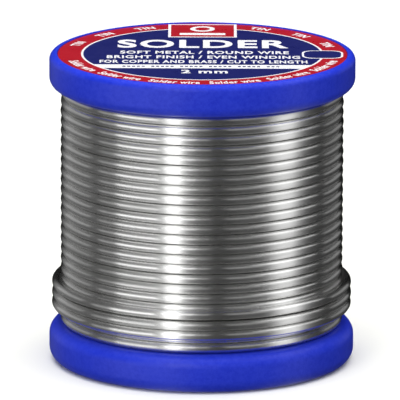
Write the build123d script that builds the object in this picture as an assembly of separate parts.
"""Solder wire spool, built as it comes apart on a bench.

Two plastic mouldings plug into each other and make the spool: the lower half has a
flange, the core tube and the spindle tube, and the upper half has a flange and a plug
tube that fits inside the core. Ribs stiffen each flange in its dish. A round printed
label closes each dish. Solder wire is wound on the core in full layers that travel up
and down in turn, with a few turns of a last layer above the lower flange.

Millimetres, +Z up. The origin is the centre of the spool's foot, on the winding axis,
and the back of the spool is at +Y.
"""

import math
import os

from build123d import *

# Spool
FLANGE_D = 61.0
HEIGHT = 62.4
LOWER_FLANGE_H = 7.7
UPPER_FLANGE_H = 6.7
FLANGE_SKIN = 1.8
FOOT_WALL = 3.8
RIM_WALL = 1.6
LEDGE_WIDTH = 1.0
FOOT_EDGE_R = 2.6
LOWER_SHOULDER_R = 2.6
UPPER_SHOULDER_R = 2.0
RIM_EDGE_R = 1.3
RIM_INNER_EDGE_R = 0.12
FOOT_INNER_EDGE_R = 0.3

# Core, the plug joint inside it, and the tube for a spindle
CORE_OUTER_R = 14.3
CORE_WALL = 1.6
PLUG_WALL = 1.5
PLUG_LENGTH = 18.0
PLUG_LEAD_IN = 0.6
SPINDLE_BORE_R = 8.0
SPINDLE_TUBE_WALL = 1.8
FIT_CLEARANCE = 0.05

# Ribs in each dish
RIB_COUNT = 8
RIB_THICKNESS = 1.2
RIB_ROOT = 0.5

# Labels
LABEL_THICKNESS = 0.3
UPPER_LABEL_DEPTH = 0.2
LOWER_LABEL_DEPTH = 1.0
LABEL_CLEARANCE = 0.1
LABEL_HOLE_MARGIN = 0.4

# Wire
WIRE_D = 1.98
TURNS_PER_LAYER = 24
FULL_LAYERS = 7
LAYER_STEP = 2.0
CORE_TO_WIRE = 0.02
FLANGE_TO_TURN = 1.02
RAMP_START = 75.0
RAMP_END = 105.0
OUTER_TURNS_START = 195.0
OUTER_TURNS_END = 1170.0
OUTER_TURNS_FOOT = 11.1
OUTER_RAMP_STEP = 7.5

# Worked out from the sizes above
FLANGE_R = FLANGE_D / 2
LOWER_FACE = LOWER_FLANGE_H
UPPER_FACE = HEIGHT - UPPER_FLANGE_H
LOWER_SKIN_BOTTOM = LOWER_FACE - FLANGE_SKIN
UPPER_SKIN_TOP = UPPER_FACE + FLANGE_SKIN
LOWER_DISH_R = FLANGE_R - FOOT_WALL
UPPER_DISH_R = FLANGE_R - RIM_WALL
CORE_INNER_R = CORE_OUTER_R - CORE_WALL
CORE_TOP = UPPER_FACE - FIT_CLEARANCE
PLUG_R = CORE_INNER_R - FIT_CLEARANCE
SPINDLE_TUBE_R = SPINDLE_BORE_R + SPINDLE_TUBE_WALL
LOWER_LABEL_TOP = LOWER_LABEL_DEPTH + LABEL_THICKNESS
UPPER_LABEL_BOTTOM = HEIGHT - UPPER_LABEL_DEPTH - LABEL_THICKNESS

FIRST_LAYER_R = CORE_OUTER_R + CORE_TO_WIRE + WIRE_D / 2
LOWEST_TURN = LOWER_FACE + FLANGE_TO_TURN
HIGHEST_TURN = UPPER_FACE - FLANGE_TO_TURN
LAYER_TRAVEL = HIGHEST_TURN - LOWEST_TURN
LAYER_ROTATION = 360 * (TURNS_PER_LAYER - 1) - (RAMP_END - RAMP_START)
WIRE_PITCH = LAYER_TRAVEL * 360 / LAYER_ROTATION


def revolved(outline, edge_radii):
    """Turn a closed (radius, height) outline round the Z axis, after rounding its corners.

    edge_radii holds (corner, radius) pairs, where a corner is a point of the outline.
    """
    face = make_face(Plane.XZ * Polyline(*outline, close=True))
    for corner, radius in edge_radii:
        place = Vector(corner[0], 0, corner[1])
        nearest = face.vertices().sort_by_distance(place)[0]
        face = fillet(nearest, radius)
    return revolve(face, Axis.Z)


def ribs(wall_r, low, high):
    """Upright radial ribs from the middle tube to a flange's wall, rooted in both."""
    inner_r = SPINDLE_TUBE_R - RIB_ROOT
    outer_r = wall_r + RIB_ROOT
    block = Box(outer_r - inner_r, RIB_THICKNESS, high - low)
    rib = Pos((inner_r + outer_r) / 2, 0, (low + high) / 2) * block
    return [Rot(0, 0, 360 * i / RIB_COUNT) * rib for i in range(RIB_COUNT)]


def lower_spool_half():
    """Flange with its dish open below, core tube and spindle tube in one moulding."""
    foot_corner = (FLANGE_R, 0)
    foot_inner_corner = (LOWER_DISH_R, 0)
    shoulder = (FLANGE_R, LOWER_FACE)
    ledge_r = LOWER_DISH_R - LEDGE_WIDTH
    body = revolved(
        [
            (SPINDLE_BORE_R, LOWER_LABEL_TOP),
            (SPINDLE_TUBE_R, LOWER_LABEL_TOP),
            (SPINDLE_TUBE_R, LOWER_SKIN_BOTTOM),
            (ledge_r, LOWER_SKIN_BOTTOM),
            (ledge_r, LOWER_LABEL_TOP),
            (LOWER_DISH_R, LOWER_LABEL_TOP),
            foot_inner_corner,
            foot_corner,
            shoulder,
            (CORE_OUTER_R, LOWER_FACE),
            (CORE_OUTER_R, CORE_TOP),
            (CORE_INNER_R, CORE_TOP),
            (CORE_INNER_R, LOWER_FACE),
            (SPINDLE_TUBE_R, LOWER_FACE),
            (SPINDLE_TUBE_R, CORE_TOP),
            (SPINDLE_BORE_R, CORE_TOP),
        ],
        [
            (foot_corner, FOOT_EDGE_R),
            (foot_inner_corner, FOOT_INNER_EDGE_R),
            (shoulder, LOWER_SHOULDER_R),
        ],
    )
    return body + ribs(ledge_r, LOWER_LABEL_TOP, LOWER_SKIN_BOTTOM + RIB_ROOT)


def upper_spool_half():
    """Flange with its dish open above, and the plug tube that fits inside the core."""
    plug_end = UPPER_FACE - PLUG_LENGTH
    plug_inner_r = PLUG_R - PLUG_WALL
    ledge_r = UPPER_DISH_R - LEDGE_WIDTH
    shoulder = (FLANGE_R, UPPER_FACE)
    rim_corner = (FLANGE_R, HEIGHT)
    rim_inner_corner = (UPPER_DISH_R, HEIGHT)
    body = revolved(
        [
            (0, UPPER_FACE),
            (plug_inner_r, UPPER_FACE),
            (plug_inner_r, plug_end),
            (PLUG_R - PLUG_LEAD_IN, plug_end),
            (PLUG_R, plug_end + PLUG_LEAD_IN),
            (PLUG_R, UPPER_FACE),
            shoulder,
            rim_corner,
            rim_inner_corner,
            (UPPER_DISH_R, UPPER_LABEL_BOTTOM),
            (ledge_r, UPPER_LABEL_BOTTOM),
            (ledge_r, UPPER_SKIN_TOP),
            (SPINDLE_TUBE_R, UPPER_SKIN_TOP),
            (SPINDLE_TUBE_R, UPPER_LABEL_BOTTOM),
            (SPINDLE_BORE_R, UPPER_LABEL_BOTTOM),
            (SPINDLE_BORE_R, UPPER_SKIN_TOP),
            (0, UPPER_SKIN_TOP),
        ],
        [
            (shoulder, UPPER_SHOULDER_R),
            (rim_corner, RIM_EDGE_R),
            (rim_inner_corner, RIM_INNER_EDGE_R),
        ],
    )
    return body + ribs(ledge_r, UPPER_SKIN_TOP - RIB_ROOT, UPPER_LABEL_BOTTOM)


def top_label():
    """Printed card disc that fills the upper rim and covers the core."""
    disc = Circle(UPPER_DISH_R - LABEL_CLEARANCE)
    return Pos(0, 0, UPPER_LABEL_BOTTOM) * extrude(disc, LABEL_THICKNESS)


def bottom_label():
    """Printed card ring in the foot, with a hole for the spindle."""
    outer = Circle(LOWER_DISH_R - LABEL_CLEARANCE)
    ring = outer - Circle(SPINDLE_BORE_R + LABEL_HOLE_MARGIN)
    return Pos(0, 0, LOWER_LABEL_DEPTH) * extrude(ring, LABEL_THICKNESS)


def winding_point(radius, angle, height):
    """A point on the winding, with its angle in degrees from +X towards +Y."""
    turn = math.radians(angle)
    return Vector(radius * math.cos(turn), radius * math.sin(turn), height)


def winding_direction(radius, angle, pitch):
    """The way the wire runs at that angle, in a helix of that pitch."""
    turn = math.radians(angle)
    return Vector(-math.sin(turn), math.cos(turn), pitch / (2 * math.pi * radius))


def wire_along(path):
    """Round wire swept along an edge."""
    section = Plane(origin=path @ 0, z_dir=path % 0) * Circle(WIRE_D / 2)
    return sweep(section, path=path, is_frenet=True)


def helical_wire(radius, low, low_angle, travel, pitch, left_handed):
    """Wire in a helix that starts at its lowest point."""
    path = Helix(pitch=pitch, height=travel, radius=radius, lefthand=left_handed)
    return Pos(0, 0, low) * (Rot(0, 0, low_angle) * wire_along(path))


def ramp_wire(points, first_direction, last_direction):
    """Wire that climbs from one layer to the next, tangent to both."""
    return wire_along(Spline(*points, tangents=[first_direction, last_direction]))


def full_layer(index):
    """One whole layer, with the ramp that brings the wire up from the layer below it."""
    radius = FIRST_LAYER_R + index * LAYER_STEP
    going_up = index % 2 == 1
    low_angle = RAMP_END if going_up else RAMP_START
    layer = helical_wire(radius, LOWEST_TURN, low_angle, LAYER_TRAVEL, WIRE_PITCH, not going_up)
    if index == 0:
        return layer
    height = LOWEST_TURN if going_up else HIGHEST_TURN
    below = radius - LAYER_STEP
    slope = WIRE_PITCH if going_up else -WIRE_PITCH
    ramp = ramp_wire(
        [
            winding_point(below, RAMP_START, height),
            winding_point((below + radius) / 2, (RAMP_START + RAMP_END) / 2, height),
            winding_point(radius, RAMP_END, height),
        ],
        winding_direction(below, RAMP_START, -slope),
        winding_direction(radius, RAMP_END, slope),
    )
    return layer + ramp


def eased(angle, start, end):
    """How far a smooth change has come at that angle: 0 up to start, 1 from end on."""
    part = min(max((angle - start) / (end - start), 0), 1)
    return part * part * (3 - 2 * part)


def outer_turns():
    """The short last layer: a ramp at the foot, then turns that end at the back.

    The ramp goes outwards first and then up, so that it clears the turns it passes.
    """
    below = FIRST_LAYER_R + (FULL_LAYERS - 1) * LAYER_STEP
    radius = below + LAYER_STEP
    rotation = OUTER_TURNS_END - OUTER_TURNS_START
    travel = WIRE_PITCH * rotation / 360
    turns = helical_wire(radius, OUTER_TURNS_FOOT, OUTER_TURNS_START, travel, WIRE_PITCH, False)
    steps = round((OUTER_TURNS_START - RAMP_START) / OUTER_RAMP_STEP)
    angles = [RAMP_START + i * OUTER_RAMP_STEP for i in range(steps + 1)]
    ramp = ramp_wire(
        [
            winding_point(
                below + LAYER_STEP * eased(angle, RAMP_START, RAMP_END),
                angle,
                LOWEST_TURN + (OUTER_TURNS_FOOT - LOWEST_TURN) * eased(angle, RAMP_END, OUTER_TURNS_START),
            )
            for angle in angles
        ],
        winding_direction(below, RAMP_START, -WIRE_PITCH),
        winding_direction(radius, OUTER_TURNS_START, WIRE_PITCH),
    )
    return turns + ramp


def main():
    parts = {
        "lower_spool_half": lower_spool_half(),
        "upper_spool_half": upper_spool_half(),
        "top_label": top_label(),
        "bottom_label": bottom_label(),
        "wire_outer_turns": outer_turns(),
    }
    for index in range(FULL_LAYERS):
        parts[f"wire_layer_{index + 1}"] = full_layer(index)

    os.makedirs("parts", exist_ok=True)
    wire_volume = 0
    for node, part in parts.items():
        export_step(part, f"parts/{node}.step")
        if node.startswith("wire_"):
            wire_volume += part.volume
        print(node, "solids", len(part.solids()), "valid", part.is_valid, "volume", round(part.volume, 1))
    print("wire length in metres", round(wire_volume / (math.pi * (WIRE_D / 2) ** 2) / 1000, 2))


main()
